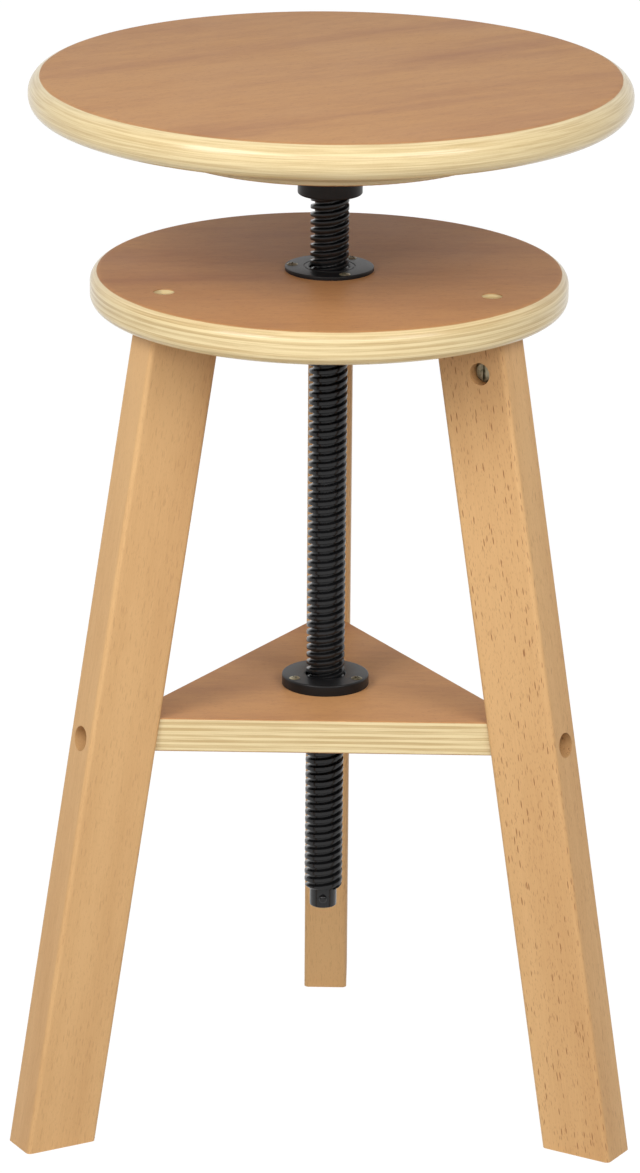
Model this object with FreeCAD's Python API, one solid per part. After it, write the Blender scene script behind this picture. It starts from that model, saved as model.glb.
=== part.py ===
import FreeCAD, Part

import math
import os

from FreeCAD import Vector

# A three-legged machinist stool with a screw-height seat, in millimetres.
# The origin is on the floor, on the axis of the lift screw, and +Z is up.
# The front of the stool, with no leg, faces -Y.

# Height of the seat as it is modelled, and how far that is above its lowest place
seat_height = 665.0
seat_raised = 46.0

# Seat board, a round of plywood with a fully rounded edge
seat_diameter = 370.0
seat_thickness = 22.5
seat_edge_radius = 10.5

# Backing disc glued and screwed under the seat
backing_diameter = 220.0
backing_thickness = 20.5
backing_edge_radius = 2.0
backing_screw_count = 6
backing_screw_circle_diameter = 180.0
backing_screw_azimuth = 0.0
backing_screw_diameter = 5.0
backing_screw_length = 36.0
backing_screw_head = 9.5

# Round top plate that the legs carry
plate_diameter = 295.0
plate_thickness = 21.0
plate_edge_radius = 7.0

# Three-cornered lower shelf between the legs
shelf_height = 273.0
shelf_thickness = 21.5
shelf_corner_width = 24.8
shelf_edge_radius = 0.8

# Legs, leaning in towards the screw
leg_azimuths = {"left": 210.0, "right": 330.0, "back": 90.0}
leg_depth = 47.0
leg_thickness = 28.0
leg_arris_radius = 3.0
leg_lean = 9.6
foot_reach = 217.3

# Lift screw, a two-start trapezoidal thread
screw_diameter = 24.0
thread_starts = 2
thread_spacing = 5.0
thread_depth = 2.75
thread_crest = 2.4
thread_flank_angle = 15.0
thread_length = 453.5
thread_chamfer = 1.5
tip_diameter = 17.0
tip_length = 12.4
tip_chamfer = 0.5
neck_diameter = 17.0
stop_pin_diameter = 5.0
stop_pin_length = 22.0
stop_pin_dome = 1.4
stop_pin_height = 6.4

# Hub that joins the seat to the screw
hub_diameter = 40.0
hub_length = 31.5
hub_flange_diameter = 96.0
hub_flange_thickness = 5.0
hub_screw_count = 4
hub_screw_circle_diameter = 76.0
hub_screw_azimuth = 45.0
hub_screw_diameter = 5.0
hub_screw_length = 20.0
hub_screw_head = 9.5

# Bolt and washer that clamp the hub on the neck of the screw
centre_bolt_diameter = 10.0
centre_bolt_length = 26.0
centre_bolt_hexagon_width = 17.0
centre_bolt_head_height = 6.4
centre_washer_diameter = 30.0
centre_washer_thickness = 2.5
centre_well_diameter = 38.0

# Threaded nuts let into the top plate and the shelf
nut_body_diameter = 36.0
nut_body_recess = 0.5
nut_screw_count = 3
nut_screw_diameter = 4.0
nut_screw_head = 7.0
upper_flange_diameter = 55.0
upper_flange_thickness = 2.5
upper_flange_bevel = 0.6
upper_ring_diameter = 32.0
upper_ring_width = 0.8
upper_ring_depth = 0.4
upper_screw_circle_diameter = 46.0
upper_screw_azimuth = 55.0
upper_screw_length = 16.0
lower_flange_diameter = 54.5
lower_flange_thickness = 7.0
lower_flange_bevel = 1.0
lower_screw_circle_diameter = 45.0
lower_screw_azimuth = 92.0
lower_screw_length = 22.0

# Vertical bolts from the top plate into the legs, with barrel nuts
bolt_diameter = 8.0
top_bolt_inset = 14.2
top_bolt_length = 45.0
top_bolt_head_diameter = 12.0
top_bolt_head_height = 8.0
top_bolt_sink_depth = 3.0
top_counterbore_diameter = 13.0
top_nut_depth = 25.0
top_nut_length = 16.0
barrel_diameter = 14.0
barrel_slot_width = 1.8
barrel_slot_depth = 1.6

# Level bolts through the legs into the corners of the shelf
shelf_bolt_below_top = 9.0
shelf_bolt_length = 60.0
shelf_bolt_head_diameter = 13.0
shelf_bolt_head_height = 8.0
shelf_washer_diameter = 15.0
shelf_washer_thickness = 1.6
shelf_counterbore_diameter = 15.4
shelf_counterbore_depth = 25.0
shelf_nut_inset = 28.0
shelf_nut_length = 14.0
key_socket_width = 6.0
key_socket_depth = 4.5
bolt_head_chamfer = 0.6
bolt_end_chamfer = 1.0

# Cross recess of the wood screws, as shares of the head
cross_span_share = 0.6
cross_width_share = 0.125
cross_depth_share = 0.7

# Clearances
fit_clearance = 0.1
bolt_clearance = 0.5
thread_clearance = 0.35
washer_clearance = 0.3
travel_clearance = 0.5

# Height within which an edge counts as level
level_tolerance = 0.001

# Points per half turn of a helix, and half turns cut beyond each end of a thread
helix_steps = 6
spare_half_turns = 3

# Places that follow from the sizes above
up = Vector(0, 0, 1)
lead = thread_starts * thread_spacing
lean_slope = math.tan(math.radians(leg_lean))
leg_level_depth = leg_depth / math.cos(math.radians(leg_lean))
seat_underside = seat_height - seat_thickness
backing_underside = seat_underside - backing_thickness
hub_bottom = backing_underside - hub_length
plate_height = hub_bottom - seat_raised - upper_flange_thickness
thread_bottom = hub_bottom - thread_length
tip_bottom = thread_bottom - tip_length
stop_pin_level = tip_bottom + stop_pin_height
plate_underside = plate_height - plate_thickness
shelf_underside = shelf_height - shelf_thickness
shelf_bolt_level = shelf_height - shelf_bolt_below_top
top_nut_level = plate_underside - top_nut_depth
top_bolt_reach = foot_reach - plate_underside * lean_slope - top_bolt_inset
top_bolt_seat = plate_height - top_bolt_sink_depth - top_bolt_head_height


def around(count, first):
    """Azimuths of equally spaced copies."""
    return [first + 360.0 * index / count for index in range(count)]


def turned(shape, azimuth):
    """A copy turned about the screw axis."""
    copy = shape.copy()
    copy.rotate(Vector(0, 0, 0), up, azimuth)
    return copy


def moved(shape, x, y, z):
    """A copy moved from the origin."""
    copy = shape.copy()
    copy.translate(Vector(x, y, z))
    return copy


def rod(diameter, start, direction, length):
    """A round bar from a point along a direction."""
    return Part.makeCylinder(diameter / 2, length, start, direction)


def level_edges(shape, level):
    """Edges that lie flat at a height."""
    flat = []
    for edge in shape.Edges:
        box = edge.BoundBox
        if abs(box.ZMin - level) < level_tolerance and abs(box.ZMax - level) < level_tolerance:
            flat.append(edge)
    return flat


def round_board(diameter, underside, thickness, top_radius, bottom_radius):
    """A round board with rounded top and bottom edges."""
    board = rod(diameter, Vector(0, 0, underside), up, thickness)
    top = underside + thickness
    if top_radius > 0:
        board = board.makeFillet(top_radius, level_edges(board, top))
    if bottom_radius > 0:
        board = board.makeFillet(bottom_radius, level_edges(board, underside))
    return board


def leg_inner_face(level):
    """How far the inner face of a leg is from the screw axis at a height."""
    return foot_reach - level * lean_slope - leg_level_depth


def leg_outer_face(level):
    """How far the outer face of a leg is from the screw axis at a height."""
    return foot_reach - level * lean_slope


# Fasteners, each with its head up and the underside of the head at the origin
def hexagon(flats, base, height):
    """A six-sided bar standing at a height."""
    corner = flats / 2 / math.cos(math.radians(30))
    points = []
    for azimuth in around(6, 0.0):
        angle = math.radians(azimuth)
        points.append(Vector(corner * math.cos(angle), corner * math.sin(angle), base))
    outline = Part.makePolygon(points + points[:1])
    return Part.Face(outline).extrude(Vector(0, 0, height))


def socket_bolt(length, head_diameter, head_height):
    """A cylinder-head bolt with a hexagon socket."""
    head = rod(head_diameter, Vector(0, 0, 0), up, head_height)
    head = head.makeChamfer(bolt_head_chamfer, level_edges(head, head_height))
    shank = rod(bolt_diameter, Vector(0, 0, -length), up, length)
    shank = shank.makeChamfer(bolt_end_chamfer, level_edges(shank, -length))
    socket = hexagon(key_socket_width, head_height - key_socket_depth, key_socket_depth)
    return head.fuse(shank).cut(socket).removeSplitter()


def hex_bolt(diameter, length, flats, head_height):
    """A bolt with a six-sided head."""
    shank = rod(diameter, Vector(0, 0, -length), up, length)
    shank = shank.makeChamfer(bolt_end_chamfer, level_edges(shank, -length))
    return hexagon(flats, 0, head_height).fuse(shank).removeSplitter()


def washer(outer, inner, thickness):
    """A flat ring standing on the origin."""
    ring = rod(outer, Vector(0, 0, 0), up, thickness)
    return ring.cut(rod(inner, Vector(0, 0, 0), up, thickness))


def wood_screw(diameter, length, head_diameter, clearance=0.0):
    """A countersunk screw with the top of its head at the origin, or the room it needs."""
    head_depth = (head_diameter - diameter) / 2
    point = diameter
    shank_radius = diameter / 2 + clearance
    head_radius = head_diameter / 2 + clearance
    profile = [
        Vector(0, 0, 0),
        Vector(head_radius, 0, 0),
        Vector(shank_radius, 0, -head_depth),
        Vector(shank_radius, 0, -(length - point)),
        Vector(0, 0, -(length + clearance)),
    ]
    face = Part.Face(Part.makePolygon(profile + profile[:1]))
    body = face.revolve(Vector(0, 0, 0), up, 360)
    if clearance > 0:
        return body
    span = head_diameter * cross_span_share
    width = head_diameter * cross_width_share
    depth = head_depth * cross_depth_share
    slot = Part.makeBox(span, width, depth)
    slot.translate(Vector(-span / 2, -width / 2, -depth))
    cross = slot.fuse(turned(slot, 90))
    return body.cut(cross)


def barrel_nut(length):
    """A slotted cross dowel lying along Y, with its threaded hole along Z."""
    start = Vector(0, -length / 2, 0)
    nut = rod(barrel_diameter - 2 * fit_clearance, start, Vector(0, 1, 0), length)
    hole = rod(bolt_diameter + 2 * fit_clearance, Vector(0, 0, -barrel_diameter), up, 2 * barrel_diameter)
    slot = Part.makeBox(barrel_slot_width, barrel_slot_depth, barrel_diameter)
    slot.translate(Vector(-barrel_slot_width / 2, -length / 2, -barrel_diameter / 2))
    return nut.cut(hole.fuse(slot))


def screws_on_circle(shape, count, circle, first, level, from_below):
    """Copies of a screw on a bolt circle, with their heads at a height."""
    copies = []
    for azimuth in around(count, first):
        copy = shape.copy()
        if from_below:
            copy.rotate(Vector(0, 0, 0), Vector(1, 0, 0), 180)
        copies.append(turned(moved(copy, circle / 2, 0, level), azimuth))
    return copies


# Thread surfaces, made of half-turn strips between helices
def thread_outline(growth):
    """Corners of one ridge as (height, radius), grown all round for the nuts."""
    root = screw_diameter / 2 - thread_depth + growth
    crest = screw_diameter / 2 + growth
    half_crest = thread_crest / 2 + growth
    half_base = half_crest + thread_depth * math.tan(math.radians(thread_flank_angle))
    return [(-half_base, root), (-half_crest, crest), (half_crest, crest), (half_base, root)]


def helix_edge(height, radius, start, half_turn):
    """Half a turn of a helix on one start of the thread."""
    points = []
    for step in range(helix_steps + 1):
        turns = (half_turn + step / helix_steps) / 2
        angle = 2 * math.pi * (turns + start / thread_starts)
        z = thread_bottom + lead * turns + height
        points.append(Vector(radius * math.cos(angle), radius * math.sin(angle), z))
    curve = Part.BSplineCurve()
    curve.interpolate(points)
    return curve.toShape()


def thread_surface(bottom, top, growth):
    """An open thread surface that runs well past both heights."""
    outline = thread_outline(growth)
    outline.append((outline[0][0] + thread_spacing, outline[0][1]))
    first = math.floor(2 * (bottom - thread_bottom) / lead) - spare_half_turns
    last = math.ceil(2 * (top - thread_bottom) / lead) + spare_half_turns
    strips = []
    for half_turn in range(first, last):
        for start in range(thread_starts):
            edges = [helix_edge(height, radius, start, half_turn) for height, radius in outline]
            for lower, upper in zip(edges, edges[1:]):
                strips.append(Part.makeRuledSurface(lower, upper))
    surface = Part.Compound(strips)
    surface.sewShape(0.0001)
    return surface.Shells[0]


def threaded(blank, surface, inside):
    """The piece of a blank, split by a thread surface, that holds a point."""
    pieces, _ = blank.generalFuse([surface])
    for piece in pieces.Solids:
        if piece.isInside(inside, 0.01, False):
            return piece
    raise ValueError("The thread surface does not split the blank.")


# Sub-parts of the seat
def make_seat_board():
    board = round_board(seat_diameter, seat_underside, seat_thickness, seat_edge_radius, seat_edge_radius)
    return board.cut(Part.Compound(backing_screws(fit_clearance)))


def make_backing_disc():
    disc = round_board(backing_diameter, backing_underside, backing_thickness, 0, backing_edge_radius)
    well = rod(centre_well_diameter, Vector(0, 0, backing_underside), up, backing_thickness)
    room = backing_screws(fit_clearance) + hub_screws(fit_clearance)
    return disc.cut(well).cut(Part.Compound(room))


def backing_screws(clearance=0.0):
    screw = wood_screw(backing_screw_diameter, backing_screw_length, backing_screw_head, clearance)
    return screws_on_circle(
        screw,
        backing_screw_count,
        backing_screw_circle_diameter,
        backing_screw_azimuth,
        backing_underside,
        True,
    )


def hub_screws(clearance=0.0):
    screw = wood_screw(hub_screw_diameter, hub_screw_length, hub_screw_head, clearance)
    flange_underside = backing_underside - hub_flange_thickness
    return screws_on_circle(
        screw, hub_screw_count, hub_screw_circle_diameter, hub_screw_azimuth, flange_underside, True
    )


def make_hub():
    barrel = rod(hub_diameter, Vector(0, 0, hub_bottom), up, hub_length)
    flange_underside = backing_underside - hub_flange_thickness
    flange = rod(hub_flange_diameter, Vector(0, 0, flange_underside), up, hub_flange_thickness)
    bore = rod(neck_diameter + 2 * fit_clearance, Vector(0, 0, hub_bottom), up, hub_length)
    return barrel.fuse(flange).cut(bore).cut(Part.Compound(hub_screws(fit_clearance))).removeSplitter()


# Sub-parts of the lift
def make_lift_screw():
    straight = thread_length - thread_chamfer
    blank_radius = screw_diameter / 2 + thread_clearance
    blank = rod(2 * blank_radius, Vector(0, 0, thread_bottom + thread_chamfer), up, straight)
    lead_in = Part.makeCone(
        blank_radius - thread_chamfer, blank_radius, thread_chamfer, Vector(0, 0, thread_bottom)
    )
    blank = blank.fuse(lead_in)
    surface = thread_surface(thread_bottom, hub_bottom, 0.0)
    core = threaded(blank, surface, Vector(0, 0, thread_bottom + thread_length / 2))
    neck_length = hub_length - fit_clearance
    neck = rod(neck_diameter, Vector(0, 0, hub_bottom), up, neck_length)
    tip = rod(tip_diameter, Vector(0, 0, tip_bottom), up, tip_length)
    tip = tip.makeChamfer(tip_chamfer, level_edges(tip, tip_bottom))
    tapped_depth = centre_bolt_length + bolt_clearance
    tapped = rod(
        centre_bolt_diameter + 2 * fit_clearance,
        Vector(0, 0, hub_bottom + neck_length - tapped_depth),
        up,
        tapped_depth,
    )
    pin_hole = rod(
        stop_pin_diameter + 2 * fit_clearance,
        Vector(0, -tip_diameter, stop_pin_level),
        Vector(0, 1, 0),
        2 * tip_diameter,
    )
    return core.fuse([neck, tip]).cut(tapped).cut(pin_hole)


def make_stop_pin():
    pin = rod(stop_pin_diameter, Vector(0, 0, 0), up, stop_pin_length)
    pin = pin.makeFillet(stop_pin_dome, level_edges(pin, 0) + level_edges(pin, stop_pin_length))
    pin.rotate(Vector(0, 0, 0), Vector(1, 0, 0), 90)
    return moved(pin, 0, stop_pin_length / 2, stop_pin_level)


def make_centre_washer():
    ring = washer(
        centre_washer_diameter, centre_bolt_diameter + 2 * washer_clearance, centre_washer_thickness
    )
    return moved(ring, 0, 0, backing_underside + fit_clearance)


def make_centre_bolt():
    bolt = hex_bolt(
        centre_bolt_diameter, centre_bolt_length, centre_bolt_hexagon_width, centre_bolt_head_height
    )
    head_seat = backing_underside + centre_washer_thickness + 2 * fit_clearance
    return moved(bolt, 0, 0, head_seat)


def flange_nut(flange_diameter, flange_thickness, bevel, seat_level, board_thickness):
    """A threaded nut with a flange that lies on a board."""
    body_length = board_thickness - nut_body_recess
    bottom = seat_level - body_length
    body = rod(nut_body_diameter, Vector(0, 0, bottom), up, body_length)
    flange = rod(flange_diameter, Vector(0, 0, seat_level), up, flange_thickness)
    top = seat_level + flange_thickness
    flange = flange.makeChamfer(bevel, level_edges(flange, top))
    blank = body.fuse(flange).removeSplitter()
    surface = thread_surface(bottom, top, thread_clearance)
    wall_middle = (screw_diameter + nut_body_diameter) / 4
    inside = Vector(wall_middle, 0, seat_level - body_length / 2)
    return threaded(blank, surface, inside)


def make_upper_nut():
    nut = flange_nut(
        upper_flange_diameter, upper_flange_thickness, upper_flange_bevel, plate_height, plate_thickness
    )
    top = plate_height + upper_flange_thickness
    groove = washer(upper_ring_diameter, upper_ring_diameter - 2 * upper_ring_width, upper_ring_depth)
    nut = nut.cut(moved(groove, 0, 0, top - upper_ring_depth))
    return nut.cut(Part.Compound(upper_nut_screws(fit_clearance)))


def upper_nut_screws(clearance=0.0):
    screw = wood_screw(nut_screw_diameter, upper_screw_length, nut_screw_head, clearance)
    top = plate_height + upper_flange_thickness
    return screws_on_circle(
        screw, nut_screw_count, upper_screw_circle_diameter, upper_screw_azimuth, top, False
    )


def make_lower_nut():
    nut = flange_nut(
        lower_flange_diameter, lower_flange_thickness, lower_flange_bevel, shelf_height, shelf_thickness
    )
    return nut.cut(Part.Compound(lower_nut_screws(fit_clearance)))


def lower_nut_screws(clearance=0.0):
    screw = wood_screw(nut_screw_diameter, lower_screw_length, nut_screw_head, clearance)
    top = shelf_height + lower_flange_thickness
    return screws_on_circle(
        screw, nut_screw_count, lower_screw_circle_diameter, lower_screw_azimuth, top, False
    )


# Sub-parts of the stand
def make_top_plate():
    plate = round_board(
        plate_diameter, plate_underside, plate_thickness, plate_edge_radius, plate_edge_radius
    )
    bore = rod(nut_body_diameter + 2 * fit_clearance, Vector(0, 0, plate_underside), up, plate_thickness)
    plate = plate.cut(bore).cut(Part.Compound(upper_nut_screws(fit_clearance)))
    sink = rod(
        top_counterbore_diameter, Vector(top_bolt_reach, 0, top_bolt_seat), up, plate_height - top_bolt_seat
    )
    hole = rod(
        bolt_diameter + 2 * bolt_clearance, Vector(top_bolt_reach, 0, plate_underside), up, plate_thickness
    )
    for azimuth in leg_azimuths.values():
        plate = plate.cut(turned(sink.fuse(hole), azimuth))
    return plate


def leaning_bar(thickness):
    """A bar in the leaning line of a leg at azimuth 0, longer than the leg at both ends."""
    spare = leg_depth
    length = (plate_underside + 2 * spare) / math.cos(math.radians(leg_lean))
    bar = Part.makeBox(leg_depth, thickness, length)
    bar.translate(Vector(-leg_depth, -thickness / 2, -spare))
    return bar


def lean(bar):
    """Tilt a bar towards the screw and set its outer edge on the foot circle."""
    bar.rotate(Vector(0, 0, 0), Vector(0, 1, 0), -leg_lean)
    bar.translate(Vector(foot_reach, 0, 0))
    return bar


def shelf_bolt_hole(start, end):
    """A level hole for a shelf bolt between two distances from the screw axis."""
    return rod(
        bolt_diameter + 2 * bolt_clearance, Vector(start, 0, shelf_bolt_level), Vector(1, 0, 0), end - start
    )


def shelf_bolt_seat():
    """Distance from the screw axis to the bottom of the counterbore in a leg."""
    return leg_outer_face(shelf_bolt_level) - shelf_counterbore_depth


def make_leg():
    """A leg at azimuth 0 with its bolt and barrel-nut holes."""
    bar = leaning_bar(leg_thickness)
    arrises = [edge for edge in bar.Edges if edge.BoundBox.ZLength > leg_depth]
    bar = lean(bar.makeFillet(leg_arris_radius, arrises))
    reach = foot_reach + leg_depth
    slab = Part.makeBox(2 * reach, 2 * leg_thickness, plate_underside, Vector(-reach, -leg_thickness, 0))
    leg = bar.common(slab)
    bolt_end = top_bolt_seat - top_bolt_length - bolt_clearance
    bolt_hole = rod(
        bolt_diameter + 2 * bolt_clearance,
        Vector(top_bolt_reach, 0, bolt_end),
        up,
        plate_underside - bolt_end,
    )
    nut_hole = rod(
        barrel_diameter,
        Vector(top_bolt_reach, -leg_thickness, top_nut_level),
        Vector(0, 1, 0),
        leg_thickness + top_nut_length / 2 + fit_clearance,
    )
    level_hole = shelf_bolt_hole(leg_inner_face(shelf_bolt_level) - leg_depth, foot_reach)
    counterbore = rod(
        shelf_counterbore_diameter,
        Vector(shelf_bolt_seat(), 0, shelf_bolt_level),
        Vector(1, 0, 0),
        2 * leg_depth,
    )
    return leg.cut(bolt_hole).cut(nut_hole).cut(level_hole).cut(counterbore)


def shelf_nut_reach():
    """Distance from the screw axis to the barrel nut in a shelf corner."""
    return leg_inner_face(shelf_bolt_level) - shelf_nut_inset


def make_shelf():
    corner_reach = leg_inner_face(shelf_height)
    side_reach = corner_reach / 2 + shelf_corner_width / 2 * math.cos(math.radians(30))
    points = []
    for azimuth in leg_azimuths.values():
        angle = math.radians(azimuth)
        point_reach = 2 * side_reach
        points.append(
            Vector(point_reach * math.cos(angle), point_reach * math.sin(angle), shelf_underside)
        )
    triangle = Part.Face(Part.makePolygon(points + points[:1]))
    shelf = triangle.extrude(Vector(0, 0, shelf_thickness))
    rims = level_edges(shelf, shelf_height) + level_edges(shelf, shelf_underside)
    shelf = shelf.makeFillet(shelf_edge_radius, rims)
    wide_bar = lean(leaning_bar(4 * leg_thickness))
    bolt_tip = shelf_bolt_seat() + shelf_washer_thickness - shelf_bolt_length
    bolt_hole = shelf_bolt_hole(bolt_tip - bolt_clearance, foot_reach)
    nut_top = shelf_bolt_level + shelf_nut_length / 2 + fit_clearance
    nut_hole = rod(
        barrel_diameter, Vector(shelf_nut_reach(), 0, shelf_underside), up, nut_top - shelf_underside
    )
    for azimuth in leg_azimuths.values():
        shelf = shelf.cut(turned(wide_bar, azimuth))
        shelf = shelf.cut(turned(bolt_hole.fuse(nut_hole), azimuth))
    bore = rod(nut_body_diameter + 2 * fit_clearance, Vector(0, 0, shelf_underside), up, shelf_thickness)
    return shelf.cut(bore).cut(Part.Compound(lower_nut_screws(fit_clearance)))


# Fasteners between the stand's pieces
def at_each_leg(shape):
    return [turned(shape, azimuth) for azimuth in leg_azimuths.values()]


def top_bolts():
    bolt = socket_bolt(top_bolt_length, top_bolt_head_diameter, top_bolt_head_height)
    return at_each_leg(moved(bolt, top_bolt_reach, 0, top_bolt_seat))


def top_barrel_nuts():
    nut = barrel_nut(top_nut_length)
    return at_each_leg(moved(nut, top_bolt_reach, 0, top_nut_level))


def shelf_bolts():
    bolt = socket_bolt(shelf_bolt_length, shelf_bolt_head_diameter, shelf_bolt_head_height)
    bolt.rotate(Vector(0, 0, 0), Vector(0, 1, 0), 90)
    head_seat = shelf_bolt_seat() + shelf_washer_thickness
    return at_each_leg(moved(bolt, head_seat, 0, shelf_bolt_level))


def shelf_bolt_washers():
    ring = washer(shelf_washer_diameter, bolt_diameter + 2 * bolt_clearance, shelf_washer_thickness)
    ring.rotate(Vector(0, 0, 0), Vector(0, 1, 0), 90)
    return at_each_leg(moved(ring, shelf_bolt_seat(), 0, shelf_bolt_level))


def shelf_barrel_nuts():
    nut = barrel_nut(shelf_nut_length)
    nut.rotate(Vector(0, 0, 0), Vector(1, 0, 0), 90)
    nut.rotate(Vector(0, 0, 0), up, 90)
    return at_each_leg(moved(nut, shelf_nut_reach(), 0, shelf_bolt_level))


def save(name, shape):
    """Write one sub-part, or a group of like solids, as a STEP file."""
    if isinstance(shape, list):
        shape = Part.Compound(shape)
    for solid in shape.Solids:
        if not solid.isValid():
            raise ValueError(name + " has a solid that is not valid.")
    shape.exportStep(os.path.join("parts", name + ".step"))
    print(name, len(shape.Solids), "solids", round(shape.Volume / 1000, 2), "cm3")


os.makedirs("parts", exist_ok=True)

save("seat_board", make_seat_board())
save("seat_backing_disc", make_backing_disc())
save("backing_disc_screws", backing_screws())
save("seat_hub", make_hub())
save("seat_hub_screws", hub_screws())
save("lift_screw", make_lift_screw())
save("lift_stop_pin", make_stop_pin())
save("hub_washer", make_centre_washer())
save("hub_bolt", make_centre_bolt())
save("upper_nut", make_upper_nut())
save("upper_nut_screws", upper_nut_screws())
save("lower_nut", make_lower_nut())
save("lower_nut_screws", lower_nut_screws())
save("top_plate", make_top_plate())
save("shelf", make_shelf())
leg = make_leg()
for side, leg_azimuth in leg_azimuths.items():
    save("leg_" + side, turned(leg, leg_azimuth))
save("top_bolts", top_bolts())
save("top_barrel_nuts", top_barrel_nuts())
save("shelf_bolts", shelf_bolts())
save("shelf_bolt_washers", shelf_bolt_washers())
save("shelf_barrel_nuts", shelf_barrel_nuts())

# Travel of the seat from the height that is modelled
nut_bottom = shelf_height - shelf_thickness + nut_body_recess
pin_top = stop_pin_level + stop_pin_diameter / 2
travel_up = nut_bottom - pin_top - travel_clearance
travel_down = seat_raised - travel_clearance
print("The seat rises", round(travel_up, 1), "mm in", round(travel_up / lead, 2), "turns")
print("The seat sinks", round(travel_down, 1), "mm in", round(travel_down / lead, 2), "turns")
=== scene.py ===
import math

import bmesh
import bpy
from bpy.props import FloatProperty, FloatVectorProperty, IntProperty, PointerProperty
from mathutils import Euler, Matrix, Vector


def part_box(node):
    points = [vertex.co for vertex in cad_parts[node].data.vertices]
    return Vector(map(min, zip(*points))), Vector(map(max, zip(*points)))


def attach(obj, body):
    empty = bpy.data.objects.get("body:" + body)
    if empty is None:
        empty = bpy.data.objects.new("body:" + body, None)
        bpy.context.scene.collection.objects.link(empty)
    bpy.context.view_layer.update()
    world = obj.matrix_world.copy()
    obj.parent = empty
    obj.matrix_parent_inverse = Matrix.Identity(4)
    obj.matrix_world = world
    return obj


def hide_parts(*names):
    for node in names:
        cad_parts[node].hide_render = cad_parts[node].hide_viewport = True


bl_info = {
    "name": "Machinist Stool",
    "version": (1, 0, 0),
    "blender": (4, 5, 0),
    "location": "View3D > Sidebar > Stool",
    "description": "Dresses the packed parts of a screw-height stool in wood and steel",
    "category": "Object",
}

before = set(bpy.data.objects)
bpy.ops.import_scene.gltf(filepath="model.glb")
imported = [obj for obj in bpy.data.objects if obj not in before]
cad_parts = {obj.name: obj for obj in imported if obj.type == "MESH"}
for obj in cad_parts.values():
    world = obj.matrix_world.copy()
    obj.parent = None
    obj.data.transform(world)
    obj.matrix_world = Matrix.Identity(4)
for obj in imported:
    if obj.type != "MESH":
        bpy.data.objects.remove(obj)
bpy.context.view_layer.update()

MILLIMETRE = 0.001

# Lengths in millimetres and angles in degrees that several pieces share
TOP_BOLT_HEAD = 12.0
BOLT_HEAD_HEIGHT = 8.0
BARREL_NUT_RADIUS = 6.9
WASHER_THICKNESS = 1.6
LEG_LEAN = 9.6
LEG_AZIMUTHS = {"leg_left": 210.0, "leg_right": 330.0, "leg_back": 90.0}

# How strongly the ray flecks show on each leg
LEG_FIGURE = {"leg_left": 0.24, "leg_right": 1.0, "leg_back": 0.5}


def shown(red, green, blue):
    """The scene value of a colour given as it looks on screen, from 0 to 255."""
    values = []
    for level in (red, green, blue):
        part = level / 255
        values.append(part / 12.92 if part <= 0.04045 else ((part + 0.055) / 1.055) ** 2.4)
    return tuple(values)


def size(name, description, default):
    """A length in metres that is given in millimetres."""
    return FloatProperty(
        name=name,
        description=description,
        default=default * MILLIMETRE,
        unit="LENGTH",
        precision=5,
    )


def colour(name, description, red, green, blue):
    """A colour that is given as it looks on screen, from 0 to 255."""
    return FloatVectorProperty(
        name=name,
        description=description,
        default=shown(red, green, blue),
        subtype="COLOR",
        size=3,
        min=0,
        max=1,
    )


def share(name, description, default):
    """An amount from none to all."""
    return FloatProperty(
        name=name, description=description, default=default, min=0, max=1, subtype="FACTOR"
    )


def power(name, description, default):
    """The power of a lamp in watts."""
    return FloatProperty(
        name=name, description=description, default=default, min=0, subtype="POWER"
    )


def whole_number(name, description, default, least):
    """A count that is not below the least one."""
    return IntProperty(name=name, description=description, default=default, min=least)


# Settings that a user of the panel would change
class StoolPlywood(bpy.types.PropertyGroup):
    """Boards of the seat, the top plate and the shelf."""

    veneer: colour("Veneer", "Face veneer between its darker streaks", 197, 147, 98)
    veneer_dark: colour("Veneer streaks", "Broad darker streaks of the face veneer", 170, 120, 84)
    veneer_fleck: colour("Veneer flecks", "Short flecks of the face veneer", 150, 104, 72)
    ply_pale: colour("Pale plies", "Core plies with their grain along the edge", 229, 209, 162)
    ply_tan: colour("Tan plies", "Core plies that show their end grain", 198, 170, 120)
    glue: colour("Glue lines", "Thin lines between the plies", 172, 140, 98)
    veneer_thickness: size("Veneer thickness", "Thickness of the two face veneers", 0.6)
    ply_thickness: size("Ply thickness", "Thickness of each core ply", 1.94)
    roughness: share("Varnish roughness", "Roughness of the varnish on the faces", 0.5)
    edge_roughness: share("Edge roughness", "Roughness of the varnish on the rounded edges", 0.3)


class StoolBeech(bpy.types.PropertyGroup):
    """Solid beech of the legs."""

    pale: colour("Beech", "Pale wood between the growth rings", 218, 175, 122)
    dark: colour("Growth rings", "Darker wood of the growth rings", 200, 154, 103)
    fleck: colour("Ray flecks", "Short dark flecks along the grain", 150, 98, 58)
    roughness: share("Varnish roughness", "Roughness of the varnish", 0.45)


class StoolSteel(bpy.types.PropertyGroup):
    """Blackened and plated steel."""

    black: colour("Black", "Black finish of the screw, hub and nuts", 22, 22, 23)
    rubbed: colour("Rubbed edges", "Black finish where it is rubbed thin", 40, 40, 42)
    zinc: colour("Zinc", "Bright zinc plate of the small fasteners", 205, 205, 198)
    zinc_dull: colour("Dull zinc", "Zinc plate where it is dull", 168, 160, 134)
    # Darker zinc that paints shade onto the pieces sitting deep in holes
    zinc_painted_shade: colour("Zinc with painted shade", "Zinc plate deep in the holes", 88, 82, 62)
    black_roughness: share("Black roughness", "Roughness of the black finish", 0.4)
    thread_roughness: share("Thread roughness", "Roughness of the oiled lift screw", 0.22)
    zinc_roughness: share("Zinc roughness", "Roughness of the zinc plate", 0.28)


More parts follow.
